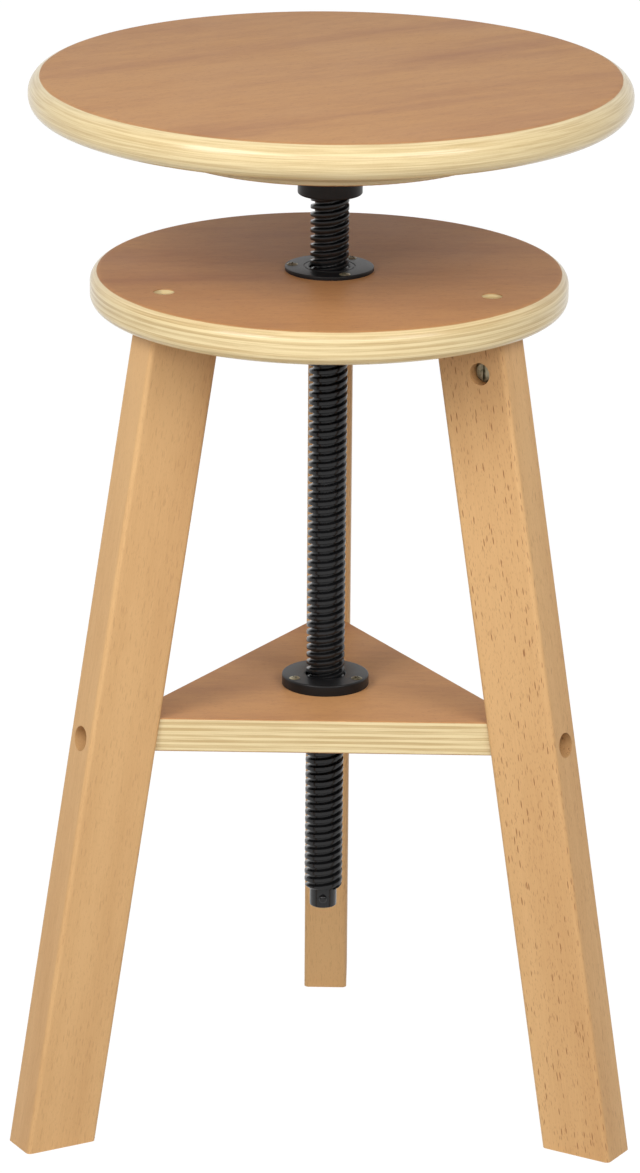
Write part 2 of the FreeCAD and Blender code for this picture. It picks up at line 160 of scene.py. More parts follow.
class StoolThread(bpy.types.PropertyGroup):
    """Thread of the lift screw."""

    starts: whole_number("Starts", "Ridges that run side by side", 2, 1)
    spacing: size("Spacing", "Distance from one ridge to the next along the screw", 5.0)
    root: size("Root radius", "Radius at the bottom of the groove", 9.35)
    crest: size("Crest radius", "Radius on top of the ridges", 12.0)
    flat: size("Crest half width", "Half the width of a ridge before its side falls", 1.05)
    foot: size("Foot half width", "Half the width of a ridge at its foot", 1.9)
    end: size("End radius", "Radius of the plain screw ends", 8.5)
    chamfer: size("Chamfer", "Height of the tapered start of the thread", 1.5)
    bottom: size("Thread bottom", "Height of the lower end of the thread", 137.0)
    top: size("Thread top", "Height of the upper end of the thread", 590.5)
    steps: whole_number("Steps per turn", "Mesh steps in each turn", 44, 12)


class StoolStage(bpy.types.PropertyGroup):
    """Camera, lamps and floor."""

    camera_place: FloatVectorProperty(
        name="Camera place",
        description="Where the camera stands",
        default=(0.04442, -3.64017, 1.51464),
        subtype="TRANSLATION",
        unit="LENGTH",
    )
    camera_turn: FloatVectorProperty(
        name="Camera turn",
        description="How far the camera looks down, rolls and turns aside",
        default=(math.radians(-17.93), math.radians(0.56), math.radians(0.76)),
        subtype="EULER",
    )
    lens: FloatProperty(
        name="Lens",
        description="Focal length in millimetres",
        default=187.54,
        subtype="DISTANCE_CAMERA",
    )
    world_light: share("World light", "Strength of the light from all round", 0.28)
    left_lamp: power("Left lamp", "Power of the left soft box", 24.0)
    right_lamp: power("Right lamp", "Power of the right soft box", 17.0)
    front_fill: power("Front fill", "Power of the broad fill", 23.4)
    floor: colour("Floor", "Colour of the plain floor", 210, 210, 210)


class Term:
    """The output of a node, which takes part in Python expressions."""

    def __init__(self, graph, socket):
        self.graph = graph
        self.socket = socket

    def of(self, output):
        """Another output of the same node."""
        return Term(self.graph, self.socket.node.outputs[output])

    def math(self, operation, *others):
        return self.graph.node("ShaderNodeMath", {"operation": operation}, [self, *others])

    def __add__(self, other):
        return self.math("ADD", other)

    __radd__ = __add__

    def __mul__(self, other):
        return self.math("MULTIPLY", other)

    __rmul__ = __mul__

    def __sub__(self, other):
        return self.math("SUBTRACT", other)

    def __rsub__(self, other):
        return self.graph.node("ShaderNodeMath", {"operation": "SUBTRACT"}, [other, self])

    def __truediv__(self, other):
        return self.math("DIVIDE", other)

    def __rtruediv__(self, other):
        return self.graph.node("ShaderNodeMath", {"operation": "DIVIDE"}, [other, self])

    def __gt__(self, other):
        return self.math("GREATER_THAN", other)

    def __lt__(self, other):
        return self.math("LESS_THAN", other)

    def __abs__(self):
        return self.math("ABSOLUTE")


class Graph:
    """Nodes of a material or of a geometry tree."""

    def __init__(self, tree):
        self.tree = tree
        self.tree.nodes.clear()

    def node(self, kind, settings=None, inputs=(), output=0):
        """A node with its settings made first, then its sockets set or linked."""
        made = self.tree.nodes.new(kind)
        for name, value in (settings or {}).items():
            setattr(made, name, value)
        pairs = inputs.items() if isinstance(inputs, dict) else enumerate(inputs)
        for key, value in pairs:
            if isinstance(value, Term):
                self.tree.links.new(value.socket, made.inputs[key])
            elif made.inputs[key].type == "RGBA" and len(value) == 3:
                made.inputs[key].default_value = (*value, 1)
            else:
                made.inputs[key].default_value = value
        return Term(self, made.outputs[output] if made.outputs else None)

    def split(self, vector):
        """The three parts of a vector."""
        parts = self.node("ShaderNodeSeparateXYZ", inputs=[vector])
        return parts, parts.of("Y"), parts.of("Z")

    def join(self, x, y, z):
        return self.node("ShaderNodeCombineXYZ", inputs=[x, y, z])

    def noise(self, vector, scale, detail=2.0, roughness=0.5):
        """Soft noise from 0 to 1."""
        inputs = {"Vector": vector, "Scale": scale, "Detail": detail, "Roughness": roughness}
        return self.node("ShaderNodeTexNoise", inputs=inputs)

    def cells(self, vector):
        """Distance to the nearest of random points, one in each unit of space."""
        return self.node("ShaderNodeTexVoronoi", inputs={"Vector": vector, "Scale": 1.0})

    def ramp(self, value, low, high, to_low=0.0, to_high=1.0):
        """A smooth step of a value between two limits."""
        settings = {"interpolation_type": "SMOOTHSTEP", "clamp": True}
        inputs = {"Value": value, "From Min": low, "From Max": high}
        inputs.update({"To Min": to_low, "To Max": to_high})
        return self.node("ShaderNodeMapRange", settings, inputs)

    def blend(self, factor, first, second):
        """A colour between two colours."""
        settings = {"data_type": "RGBA", "clamp_factor": True}
        return self.node("ShaderNodeMix", settings, {0: factor, 6: first, 7: second}, output=2)

    def bump(self, height, distance, strength):
        inputs = {"Height": height, "Distance": distance, "Strength": strength}
        return self.node("ShaderNodeBump", inputs=inputs)

    def surface(self, **sockets):
        """The surface shader, with socket names written with underscores."""
        inputs = {name.replace("_", " "): value for name, value in sockets.items()}
        shader = self.node("ShaderNodeBsdfPrincipled", inputs=inputs)
        self.node("ShaderNodeOutputMaterial", inputs=[shader])


def material(name):
    """A new material and the graph of its nodes."""
    made = bpy.data.materials.new(name)
    made.use_nodes = True
    return made, Graph(made.node_tree)


def wood_grain(graph, along, across, depth):
    """Broad streaks and fine fibres of wood, each from 0 to 1.

    The factors are waves to the metre, few along the grain and many across it.
    """
    drift = graph.noise(graph.join(along * 4, across * 4, depth * 4), 1.0, 1.0) * 0.02
    broad = graph.noise(graph.join(along * 3.2, (across + drift) * 42, depth * 42), 1.0, 3.0, 0.55)
    fine = graph.noise(graph.join(along * 55, across * 1500, depth * 1500), 1.0, 2.0, 0.6)
    return broad, fine


def plywood_material(name, node, plywood, contrast, turn):
    """Varnished plywood, its plies stacked by height in the board and its face grain turned.

    The contrast says how clearly the plies and glue lines show along the edge.
    """
    made, graph = material(name)
    low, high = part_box(node)
    point = graph.node("ShaderNodeTexCoord", output="Object")
    x, y, z = graph.split(point)
    ripple = graph.noise(point, 55, 3.0) - 0.5
    height = z - low.z + ripple * (0.2 * MILLIMETRE)
    thickness = high.z - low.z
    veneer = plywood.veneer_thickness

    # An odd number of core plies, so that the outer two are both pale
    core_thickness = thickness - 2 * veneer
    plies = 2 * round(core_thickness / plywood.ply_thickness / 2 - 0.5) + 1
    wander = graph.noise(graph.join(x * 9, y * 9, z * 120), 1.0, 3.0) - 0.5
    stack = (height - veneer) * (plies / core_thickness) + wander * 0.9
    layer = stack.math("FLOOR")
    odd = layer.math("MODULO", 2).math("ABSOLUTE")
    within = stack.math("FRACT")
    glue = 1 - graph.ramp(abs(within - 0.5), 0.5, 0.43)

    # Core plies, streaked along the edge where their grain runs that way
    run = graph.noise(graph.join(x * 22, y * 22, z * 1300), 1.0, 3.0, 0.6)
    pores = graph.noise(graph.join(x * 900, y * 900, z * 1400), 1.0, 2.0, 0.6)
    tone = graph.ramp(graph.noise(graph.join(layer * 3.7, x * 9, y * 9), 1.0, 1.0), 0.3, 0.68, 0.15)
    fibres = graph.ramp(run, 0.36, 0.66) - 0.45
    tan_share = 0.35 + (odd - 0.4) * tone * contrast + fibres * 0.55 + (pores - 0.5) * 0.25
    core = graph.blend(tan_share, plywood.ply_pale, plywood.ply_tan)
    glue_share = glue * graph.ramp(run, 0.4, 0.7) * contrast * 0.5
    core = graph.blend(glue_share, core, plywood.glue)

    # Face veneer
    cosine, sine = math.cos(turn), math.sin(turn)
    along = x * cosine + y * sine
    across = y * cosine - x * sine
    broad, fine = wood_grain(graph, along, across, z)
    fleck = graph.noise(graph.join(along * 280, across * 1150, z * 1150), 1.0, 0.5, 0.4)
    sweep = graph.noise(graph.join(along * 2.4, across * 15, z * 15), 1.0, 3.0, 0.6)
    mottle = graph.noise(graph.join(along * 60, across * 190, z * 190), 1.0, 3.0, 0.6)
    streaks = 0.1 + graph.ramp(sweep, 0.42, 0.75) * 0.8 + (broad - 0.5) * 0.6
    streaks = streaks + (mottle - 0.5) * 0.7 + (fine - 0.5) * 0.6
    face = graph.blend(streaks, plywood.veneer, plywood.veneer_dark)
    flecks = graph.ramp(fleck, 0.64, 0.74)
    face = graph.blend(flecks * 0.3, face, plywood.veneer_fleck)

    on_face = (height > thickness - veneer).math("MAXIMUM", height < veneer)
    mixed = graph.blend(on_face, core, face)
    grain = fine * 0.5 + fleck * 0.5
    rough = plywood.edge_roughness + on_face * (plywood.roughness - plywood.edge_roughness)
    graph.surface(
        Base_Color=mixed,
        Roughness=rough + (run - 0.5) * 0.1,
        Specular_IOR_Level=0.12,
        Coat_Weight=(1 - on_face) * 0.5,
        Coat_Roughness=0.14,
        Normal=graph.bump(grain, 0.04 * MILLIMETRE, 0.4),
    )
    return made


def beech_material(beech):
    """Varnished solid beech, read from the grain directions kept on each leg."""
    made, graph = material("beech_wood")
    point = graph.node("ShaderNodeAttribute", {"attribute_name": "grain"}, output="Vector")
    along, across, depth = graph.split(point)
    figure = graph.node("ShaderNodeAttribute", {"attribute_name": "figure"}, output="Fac")
    broad, fine = wood_grain(graph, along, across, depth)
    tone = graph.noise(graph.join(along * 3.5, across * 16, depth * 16), 1.0, 2.0)
    cell = graph.cells(graph.join(along * 100, across * 780, depth * 700))
    chance, vigour, _ = graph.split(cell.of("Color"))
    small = graph.cells(graph.join(along * 230, across * 1400, depth * 1400))
    ring = 0.25 + (broad - 0.5) * 1.6 + (fine - 0.5) * 1.1 + (tone - 0.5) * 1.4
    wood = graph.blend(ring, beech.pale, beech.dark)
    reach = 0.2 + vigour * 0.14
    dashes = (1 - graph.ramp(cell / reach, 0.6, 1.0)) * (chance < 0.92)
    dashes = dashes * (0.5 + vigour * 0.5) * figure
    pores = (1 - graph.ramp(small, 0.1, 0.3)) * (0.2 + figure * 0.3)
    flecks = dashes.math("MAXIMUM", pores)
    wood = graph.blend(flecks * 0.9, wood, beech.fleck)
    graph.surface(
        Base_Color=wood,
        Roughness=beech.roughness + (fine - 0.5) * 0.14,
        Specular_IOR_Level=0.25,
        Normal=graph.bump(fine * 0.6 - flecks * 0.6, 0.06 * MILLIMETRE, 0.6),
    )
    return made


def black_material(name, steel, roughness, shine):
    """Black steel, rubbed a little brighter in places."""
    made, graph = material(name)
    point = graph.node("ShaderNodeTexCoord", output="Object")
    cloud = graph.noise(point, 60, 3.0)
    speck = graph.noise(point, 1400, 2.0)
    worn = graph.ramp(cloud, 0.45, 0.8) * 0.5 + graph.ramp(speck, 0.62, 0.78) * 0.35
    graph.surface(
        Base_Color=graph.blend(worn, steel.black, steel.rubbed),
        Metallic=0.1,
        Roughness=roughness + (cloud - 0.5) * 0.12 + (speck - 0.5) * 0.1,
        Specular_IOR_Level=shine,
        Normal=graph.bump(speck, 0.03 * MILLIMETRE, 0.5),
    )
    return made


def zinc_material(name, bright, dull, roughness):
    """Zinc plate with duller patches. In the dull zinc, the darker patches are painted shade."""
    made, graph = material(name)
    point = graph.node("ShaderNodeTexCoord", output="Object")
    cloud = graph.noise(point, 220, 3.0)
    speck = graph.noise(point, 2600, 2.0)
    graph.surface(
        Base_Color=graph.blend(graph.ramp(cloud, 0.4, 0.7), bright, dull),
        Metallic=0.7,
        Roughness=roughness + (cloud - 0.5) * 0.3,
        Normal=graph.bump(speck, 0.02 * MILLIMETRE, 0.4),
    )
    return made


def named_material(name):
    """A finish that several pieces share, made when the first one needs it."""
    found = bpy.data.materials.get(name)
    if found:
        return found
    steel = bpy.context.scene.stool_steel
    black, thread, plated = steel.black_roughness, steel.thread_roughness, steel.zinc_roughness
    makers = {
        "beech_wood": lambda: beech_material(bpy.context.scene.stool_beech),
        "black_finish": lambda: black_material(name, steel, black, 0.3),
        "oiled_black_finish": lambda: black_material(name, steel, thread, 0.4),
        "zinc_plate": lambda: zinc_material(name, steel.zinc, steel.zinc_dull, plated),
        # Dull zinc whose darker patches are painted shade, for the barrel nuts deep in their holes
        # and the nut screws
        "dull_zinc_with_painted_shade": lambda: zinc_material(name, steel.zinc_dull, steel.zinc_painted_shade, 0.45),
    }
    return makers[name]()


# Meshes
def smooth_by_angle(mesh):
    """Smooth shading that keeps the sharper edges."""
    mesh.shade_smooth()
    mesh.set_sharp_from_angle(angle=math.radians(32))
    mesh.update()


def mesh_from(name, build):
    """A mesh made by a function that fills an empty bmesh."""
    work = bmesh.new()
    build(work)
    mesh = bpy.data.meshes.new(name)
    work.to_mesh(mesh)
    work.free()
    smooth_by_angle(mesh)
    return mesh


def turn_outline(work, outline, segments):
    """Sweep an outline of (radius, height) points round the Z axis."""
    rings = []
    for radius, height in outline:
        if radius == 0:
            rings.append([work.verts.new((0, 0, height))])
            continue
        ring = []
        for index in range(segments):
            angle = 2 * math.pi * index / segments
            place = (radius * math.cos(angle), radius * math.sin(angle), height)
            ring.append(work.verts.new(place))
        rings.append(ring)
    for lower, upper in zip(rings, rings[1:]):
        for index in range(segments):
            following = (index + 1) % segments
            corners = [
                lower[index % len(lower)],
                lower[following % len(lower)],
                upper[following % len(upper)],
                upper[index % len(upper)],
            ]
            # A corner on the axis comes up twice and is kept once
            work.faces.new(dict.fromkeys(corners))


def turned(name, outline, segments):
    """A closed turned mesh. An outline that starts off the axis is closed into a ring."""
    points = [(radius * MILLIMETRE, height * MILLIMETRE) for radius, height in outline]
    if points[0][0] > 0:
        points.append(points[0])

    def build(work):
        turn_outline(work, points, segments)
        bmesh.ops.remove_doubles(work, verts=work.verts, dist=1e-7)
        bmesh.ops.recalc_face_normals(work, faces=work.faces)

    return mesh_from(name, build)


def arc(centre_radius, centre_height, radius, start, end, steps):
    """Points of a rounded corner of an outline, between two angles in degrees."""
    points = []
    for step in range(steps + 1):
        angle = math.radians(start + (end - start) * step / steps)
        outward, upward = radius * math.cos(angle), radius * math.sin(angle)
        points.append((centre_radius + outward, centre_height + upward))
    return points


def board_outline(radius, low, high, rounding, steps):
    """Outline of a round board from the middle of its underside to the middle of its top."""
    outline = [(0, low)]
    outline += arc(radius - rounding, low + rounding, rounding, -90, 0, steps)
    outline += arc(radius - rounding, high - rounding, rounding, 0, 90, steps)
    return outline + [(0, high)]


def drill(name, radius, low, high, segments):
    """A round cutter that stands on the screw axis."""
    return turned(name, board_outline(radius, low, high, 0.1, 1), segments)


def clean_copy(node):
    """A smooth-shaded copy of a packed part, with its loose triangles joined."""
    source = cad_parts[node].data

    def build(work):
        for vertex in source.vertices:
            work.verts.new(vertex.co)
        work.verts.ensure_lookup_table()
        for polygon in source.polygons:
            work.faces.new([work.verts[index] for index in polygon.vertices])
        bmesh.ops.remove_doubles(work, verts=work.verts, dist=2e-6)
        bmesh.ops.dissolve_degenerate(work, edges=work.edges, dist=1e-7)

    return mesh_from(node, build)


def placed(name, mesh, finish, body, slot, *nodes):
    """An object of the stool that rides on a body and stands for packed parts."""
    piece = bpy.data.objects.new(name, mesh)
    bpy.context.scene.collection.objects.link(piece)
    mesh.materials.clear()
    mesh.materials.append(finish)
    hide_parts(*nodes)
    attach(piece, body)
    return piece


def settled_mesh(piece):
    """The mesh that a piece's modifiers make."""
    bpy.context.view_layer.update()
    shaped = piece.evaluated_get(bpy.context.evaluated_depsgraph_get())
    return bpy.data.meshes.new_from_object(shaped)


def cut(mesh, *tools):
    """A mesh with the shapes of other meshes cut out of it."""
    piece = bpy.data.objects.new("cut", mesh)
    bpy.context.scene.collection.objects.link(piece)
    helpers = []
    for tool in tools:
        helper = bpy.data.objects.new("tool", tool)
        bpy.context.scene.collection.objects.link(helper)
        helpers.append(helper)
        modifier = piece.modifiers.new("cut", "BOOLEAN")
        modifier.operation = "DIFFERENCE"
        modifier.solver = "EXACT"
        modifier.object = helper
    result = settled_mesh(piece)
    for thing in [piece, *helpers]:
        bpy.data.objects.remove(thing)
    smooth_by_angle(result)
    return result


def joined(name, meshes):
    """One mesh made of several."""

    def build(work):
        for mesh in meshes:
            work.from_mesh(mesh)

    return mesh_from(name, build)


def shifted(mesh, matrix):
    """The same mesh, moved or turned."""
    mesh.transform(matrix)
    return mesh


def quarter_turn(axis):
    """A turn of 90 degrees about an axis."""
    return Matrix.Rotation(math.radians(90), 4, axis)


def box_in_millimetres(node):
    """The low and high corners of a packed part's box, in millimetres."""
    low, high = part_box(node)
    return low / MILLIMETRE, high / MILLIMETRE


# Geometry trees
def new_tree(name, inputs):
    """A geometry tree with named inputs, given as (name, socket type)."""
    tree = bpy.data.node_groups.new(name, "GeometryNodeTree")
    tree.interface.new_socket("Geometry", in_out="INPUT", socket_type="NodeSocketGeometry")
    for label, kind in inputs:
        tree.interface.new_socket(label, in_out="INPUT", socket_type="NodeSocket" + kind)
    tree.interface.new_socket("Geometry", in_out="OUTPUT", socket_type="NodeSocketGeometry")
    return tree


def run_tree(name, mesh, tree, values):
    """The plain mesh that a tree makes of a mesh, with the tree's inputs set by name."""
    piece = bpy.data.objects.new(name, mesh)
    bpy.context.scene.collection.objects.link(piece)
    modifier = piece.modifiers.new(name, "NODES")
    modifier.node_group = tree
    for socket in tree.interface.items_tree:
        if socket.in_out == "INPUT" and socket.name in values:
            modifier[socket.identifier] = values[socket.name]
    result = settled_mesh(piece)
    piece.modifiers.remove(modifier)
    bpy.data.objects.remove(piece)
    result.name = name
    smooth_by_angle(result)
    return result


def ring_tree():
    """Copies of a fastener round the screw axis, each turned to its own azimuth."""
    name = "Fasteners on a circle"
    if name in bpy.data.node_groups:
        return bpy.data.node_groups[name]
    tree = new_tree(
        name,
        [
            ("Count", "Int"),
            ("Circle radius", "Float"),
            ("First azimuth", "Float"),
            ("Height", "Float"),
            ("Material", "Material"),
        ],
    )
    graph = Graph(tree)
    given = graph.node("NodeGroupInput")
    circle = graph.node(
        "GeometryNodeMeshCircle",
        {"fill_type": "NONE"},
        {"Vertices": given.of("Count"), "Radius": given.of("Circle radius")},
    )
    placed_circle = graph.node(
        "GeometryNodeTransform",
        inputs={
            "Geometry": circle,
            "Translation": graph.join(0, 0, given.of("Height")),
            "Rotation": graph.join(0, 0, given.of("First azimuth")),
        },
    )
    index = graph.node("GeometryNodeInputIndex")
    azimuth = index * (2 * math.pi) / given.of("Count") + given.of("First azimuth")
    copies = graph.node(
        "GeometryNodeInstanceOnPoints",
        inputs={
            "Points": placed_circle,
            "Instance": given.of("Geometry"),
            "Rotation": graph.join(0, 0, azimuth),
        },
    )
    real = graph.node("GeometryNodeRealizeInstances", inputs=[copies])
    painted = graph.node(
        "GeometryNodeSetMaterial", inputs={"Geometry": real, "Material": given.of("Material")}
    )
    graph.node("NodeGroupOutput", inputs=[painted])
    return tree


def thread_tree():
    """A multi-start thread with rounded ridges, closed down to a plain end at both heights.

    A flat strip, one ridge wide and as long as the screw has turns, is wound round the axis.
    """
    ridge_points = 15
    swell_height = 0.3 * MILLIMETRE
    tree = new_tree(
        "Rounded thread",
        [
            ("Starts", "Int"),
            ("Spacing", "Float"),
            ("Root radius", "Float"),
            ("Crest radius", "Float"),
            ("Crest half width", "Float"),
            ("Foot half width", "Float"),
            ("End radius", "Float"),
            ("Chamfer", "Float"),
            ("Thread bottom", "Float"),
            ("Thread top", "Float"),
            ("Steps per turn", "Int"),
            ("Material", "Material"),
        ],
    )
    graph = Graph(tree)
    given = graph.node("NodeGroupInput")
    bottom, top = given.of("Thread bottom"), given.of("Thread top")
    lead = given.of("Starts") * given.of("Spacing")
    turns = (top - bottom) / lead + 2
    strip = graph.node(
        "GeometryNodeMeshGrid",
        inputs={
            "Size X": 1.0,
            "Size Y": 1.0,
            "Vertices X": ridge_points,
            "Vertices Y": (turns * given.of("Steps per turn")).math("CEIL"),
        },
    )
    u, v, _ = graph.split(graph.node("GeometryNodeInputPosition"))
    offset = u * given.of("Spacing")
    turn = (v + 0.5) * turns - 1
    height = bottom + turn * lead + offset
    ridge = graph.ramp(abs(offset), given.of("Foot half width"), given.of("Crest half width"))
    dome = abs(offset) / given.of("Foot half width")
    swell = (1 - dome * dome).math("MAXIMUM", 0.0) * swell_height
    depth = given.of("Crest radius") - given.of("Root radius") - swell_height
    radius = given.of("Root radius") + (depth + swell) * ridge
    taper = given.of("Crest radius") - given.of("Chamfer") + (height - bottom)
    outside = (height < bottom).math("MAXIMUM", height > top)
    kept_height = height.math("MAXIMUM", bottom).math("MINIMUM", top)
    kept_radius = radius.math("MINIMUM", taper)
    final_radius = outside * given.of("End radius") + (1 - outside) * kept_radius
    angle = turn * (2 * math.pi)
    place = graph.join(
        final_radius * angle.math("COSINE"), final_radius * angle.math("SINE"), kept_height
    )
    wound = graph.node("GeometryNodeSetPosition", inputs={"Geometry": strip, "Position": place})
    trimmed = graph.node(
        "GeometryNodeDeleteGeometry",
        {"domain": "FACE"},
        {"Geometry": wound, "Selection": outside > 0.5},
    )
    starts = graph.node(
        "GeometryNodeMeshLine", inputs={"Count": given.of("Starts"), "Offset": (0, 0, 0)}
    )
    share_of_turn = graph.node("GeometryNodeInputIndex") * (2 * math.pi) / given.of("Starts")
    copies = graph.node(
        "GeometryNodeInstanceOnPoints",
        inputs={"Points": starts, "Instance": trimmed, "Rotation": graph.join(0, 0, share_of_turn)},
    )
    real = graph.node("GeometryNodeRealizeInstances", inputs=[copies])
    welded = graph.node("GeometryNodeMergeByDistance", inputs={"Geometry": real, "Distance": 1e-6})
    painted = graph.node(
        "GeometryNodeSetMaterial", inputs={"Geometry": welded, "Material": given.of("Material")}
    )
    graph.node("NodeGroupOutput", inputs=[painted])
    return tree


def ring_of(name, fastener, count, radius, azimuth, height, finish, body, slot, node):
    """A group of like fasteners that stands for a packed group. Lengths are in millimetres."""
    mesh = run_tree(
        name,
        fastener,
        ring_tree(),
        {
            "Count": count,
            "Circle radius": radius * MILLIMETRE,
            "First azimuth": math.radians(azimuth),
            "Height": height * MILLIMETRE,
            "Material": finish,
        },
    )
    return placed(name, mesh, finish, body, slot, node)


def prism(name, sides, flats, low, high):
    """A regular bar standing on Z, in millimetres."""
    corner = flats / 2 / math.cos(math.pi / sides)
    outline = [(0, low), (corner, low), (corner, high), (0, high)]
    return turned(name, outline, sides)


def bar(name, width, depth, low, high):
    """A square-edged bar centred on Z, in millimetres."""

    def build(work):
        bmesh.ops.create_cube(work, size=1.0)
        middle = Vector((0, 0, (low + high) / 2)) * MILLIMETRE
        sides = Vector((width, depth, high - low)) * MILLIMETRE
        scale = Matrix.Diagonal((*sides, 1))
        bmesh.ops.transform(work, matrix=Matrix.Translation(middle) @ scale, verts=work.verts)

    return mesh_from(name, build)


def wood_screw_mesh(head, shank, length):
    """An oval-head wood screw with a cross recess, with the rim of its head at the origin."""
    outline = [(0, -length), (shank / 2, -length + shank)]
    outline += [(shank / 2, -(head - shank) / 2), (head / 2, -0.15), (head / 2, 0.1)]
    outline += [(head * 0.42, 0.42), (head * 0.28, 0.72), (head * 0.12, 0.88), (0, 0.92)]
    body = turned("wood_screw", outline, 40)
    cross_span, cross_width, cross_depth = head * 0.62, head * 0.13, head * 0.22
    blade = bar("blade", cross_span, cross_width, -cross_depth, 2)
    other = bar("blade", cross_width, cross_span, -cross_depth, 2)
    return cut(body, blade, other)


def socket_bolt_mesh(head, length):
    """A cylinder-head bolt with its head up and the underside of its head at the origin."""
    shank, taper = 4.0, 1.0
    rim, underside, rounding = head / 2, 0.2, 0.8
    key_flats, key_depth = 6.0, 4.5
    height = BOLT_HEAD_HEIGHT
    outline = [(0, -length), (shank - taper, -length), (shank, -length + taper), (shank, 0)]
    outline += [(rim - underside, 0), (rim, underside)]
    outline += arc(rim - rounding, height - rounding, rounding, 0, 90, 5)
    outline += [(key_flats / 2 + 0.9, height), (0, height)]
    body = turned("socket_bolt", outline, 64)
    return cut(body, prism("socket", 6, key_flats, height - key_depth, height + 2))


def barrel_nut_mesh(length):
    """A slotted barrel nut lying along Y, with its slotted face towards -Y."""
    radius, end, bevel = BARREL_NUT_RADIUS, length / 2, 1.6
    slot_width, slot_depth = 1.9, 1.8
    outline = [(0, -end), (radius - bevel, -end), (radius, -end + bevel)]
    outline += [(radius, end - bevel), (radius - bevel, end), (0, end)]
    body = turned("barrel_nut", outline, 64)
    slotted = cut(body, bar("slot", slot_width, 20, end - slot_depth, length))
    return shifted(slotted, quarter_turn("X"))


# One operator for each piece or group of like pieces
class StoolOperator:
    bl_options = {"REGISTER", "UNDO"}


class STOOL_OT_seat(StoolOperator, bpy.types.Operator):
    """Make the round seat board with its fully rounded edge"""

    bl_idname = "stool.seat"
    bl_label = "Seat Board"

    def execute(self, context):
        low, high = box_in_millimetres("seat_board")
        rounding = 10.5
        mesh = turned("seat_board", board_outline(high.x, low.z, high.z, rounding, 24), 256)
        plywood = context.scene.stool_plywood
        finish = plywood_material("seat_plywood", "seat_board", plywood, 0.3, 0.55)
        placed("seat", mesh, finish, "seat", "plywood", "seat_board")
        return {"FINISHED"}


class STOOL_OT_backing_disc(StoolOperator, bpy.types.Operator):
    """Make the disc that stiffens the seat from below"""

    bl_idname = "stool.backing_disc"
    bl_label = "Backing Disc"

    def execute(self, context):
        mesh = clean_copy("seat_backing_disc")
        plywood = context.scene.stool_plywood
        finish = plywood_material("disc_plywood", "seat_backing_disc", plywood, 0.8, 0.1)
        placed("backing_disc", mesh, finish, "seat", "plywood", "seat_backing_disc")
        return {"FINISHED"}


def top_bolt_reach():
    """Distance in metres from the screw axis to the middle of a leg's vertical bolt."""
    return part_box("top_bolts")[1].y - TOP_BOLT_HEAD / 2 * MILLIMETRE


class STOOL_OT_top_plate(StoolOperator, bpy.types.Operator):
    """Make the round top plate with its bolt holes"""

    bl_idname = "stool.top_plate"
    bl_label = "Top Plate"

    def execute(self, context):
        low, high = box_in_millimetres("top_plate")
        rounding, spare, overlap = 7.0, 5.0, 3.0
        nut_hole, bolt_hole = 18.1, 4.5
        sink_radius, sink_depth = 6.5, 11.0
        board = turned("top_plate", board_outline(high.x, low.z, high.z, rounding, 14), 240)
        tools = [drill("bore", nut_hole, low.z - spare, high.z + spare, 96)]
        outward = Matrix.Translation((top_bolt_reach(), 0, 0))
        for azimuth in LEG_AZIMUTHS.values():
            place = Matrix.Rotation(math.radians(azimuth), 4, "Z") @ outward
            sink = drill("sink", sink_radius, high.z - sink_depth, high.z + spare, 48)
            hole = drill("hole", bolt_hole, low.z - spare, high.z - sink_depth + overlap, 32)
            tools += [shifted(sink, place), shifted(hole, place)]
        plywood = context.scene.stool_plywood
        finish = plywood_material("plate_plywood", "top_plate", plywood, 0.9, 0.1)
        placed("plate", cut(board, *tools), finish, "stand", "plywood", "top_plate")
        return {"FINISHED"}


class STOOL_OT_shelf(StoolOperator, bpy.types.Operator):
    """Make the three-cornered shelf between the legs"""

    bl_idname = "stool.shelf"
    bl_label = "Shelf"

    def execute(self, context):
        mesh = clean_copy("shelf")
        plywood = context.scene.stool_plywood
        finish = plywood_material("shelf_plywood", "shelf", plywood, 1.0, 0.05)
        placed("low_shelf", mesh, finish, "stand", "plywood", "shelf")
        return {"FINISHED"}


class STOOL_OT_legs(StoolOperator, bpy.types.Operator):
    """Make the three leaning legs, each with its own run of grain"""

    bl_idname = "stool.legs"
    bl_label = "Legs"

    def execute(self, context):
        finish = named_material("beech_wood")
        lean = Matrix.Rotation(math.radians(LEG_LEAN), 3, "Y")
        other_log = 1.7
        for number, (node, azimuth) in enumerate(LEG_AZIMUTHS.items()):
            mesh = clean_copy(node)
            upright = lean @ Matrix.Rotation(math.radians(-azimuth), 3, "Z")
            grain, figure = [], []
            for vertex in mesh.vertices:
                depth, across, along = upright @ vertex.co
                grain += [along + number * other_log, across, depth]
            for polygon in mesh.polygons:
                broadside = abs((upright @ polygon.normal).y)
                figure.append(LEG_FIGURE[node] * (0.5 + 0.5 * broadside))
            mesh.attributes.new("grain", "FLOAT_VECTOR", "POINT").data.foreach_set("vector", grain)
            mesh.attributes.new("figure", "FLOAT", "FACE").data.foreach_set("value", figure)
            placed(node.replace("_", "_stand_"), mesh, finish, "stand", "beech", node)
        return {"FINISHED"}


